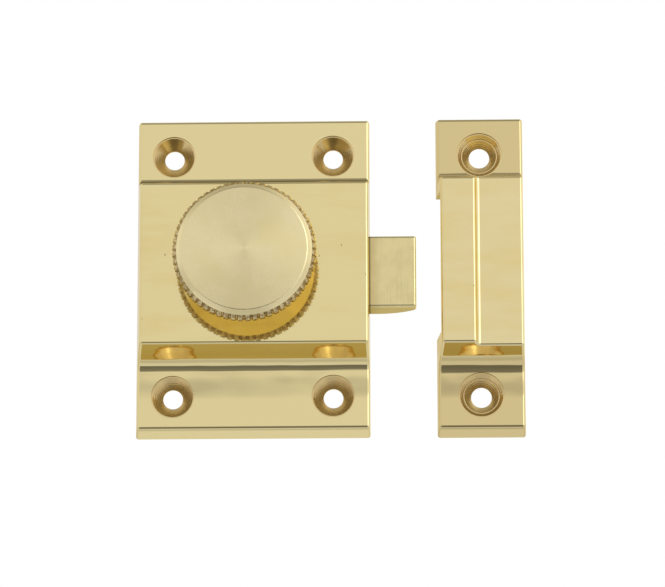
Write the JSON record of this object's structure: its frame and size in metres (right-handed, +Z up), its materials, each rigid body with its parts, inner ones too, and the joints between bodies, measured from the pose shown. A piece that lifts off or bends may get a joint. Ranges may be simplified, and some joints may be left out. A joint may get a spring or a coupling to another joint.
{
  "type": "cupboard catch latch",
  "caption": "Surface-mounted brass catch latch: a flanged case with a milled turn knob and a sprung bolt with a rounded back, and the separate box keep that the bolt enters.",
  "frame": {"origin": "on the back of the case, at the centre of its four screw holes", "axes": "+X towards the keep, +Z up along the case, -Y out of the front, towards whoever turns the knob"},
  "size_m": [0.0843, 0.0209, 0.0716],
  "materials": {
    "cast_brass": "polished casting",
    "turned_brass": "fine satin, turned",
    "bolt_brass": "brushed",
    "sheet_brass": "rolled",
    "screw_brass": "turned",
    "washer_brass": "plain",
    "steel": "plain machined",
    "spring_steel": "drawn wire"
  },
  "bodies": {
    "housing": {"case": "cast_brass", "back_plate": "sheet_brass", "cover_screws": "screw_brass", "neck_washer": "washer_brass", "thrust_washer": "washer_brass", "return_spring": "spring_steel", "keep": "cast_brass"},
    "knob_set": {"knob": "turned_brass", "spindle": "steel", "cam_plate": "steel", "cam_pin": "steel"},
    "bolt_set": {"latch_bolt": "bolt_brass", "spring_guide": "steel"}
  },
  "joints": [
    {"name": "knob_turn", "type": "hinge", "parent": "housing", "child": "knob_set", "pos_m": [-0.0013, 0, 0.0015], "axis": [0, 1, 0], "range_deg": [0, 60]},
    {"name": "bolt_slide", "type": "slide", "parent": "housing", "child": "bolt_set", "axis": [-1, 0, 0], "range_m": [0, 0.0101], "stiffness_N_per_m": 250, "springref_m": -0.02, "deforming": ["return_spring"]}
  ],
  "couplings": [
    {"joint": "knob_turn", "follows": "bolt_slide", "rad_per_m": 103.68}
  ]
}
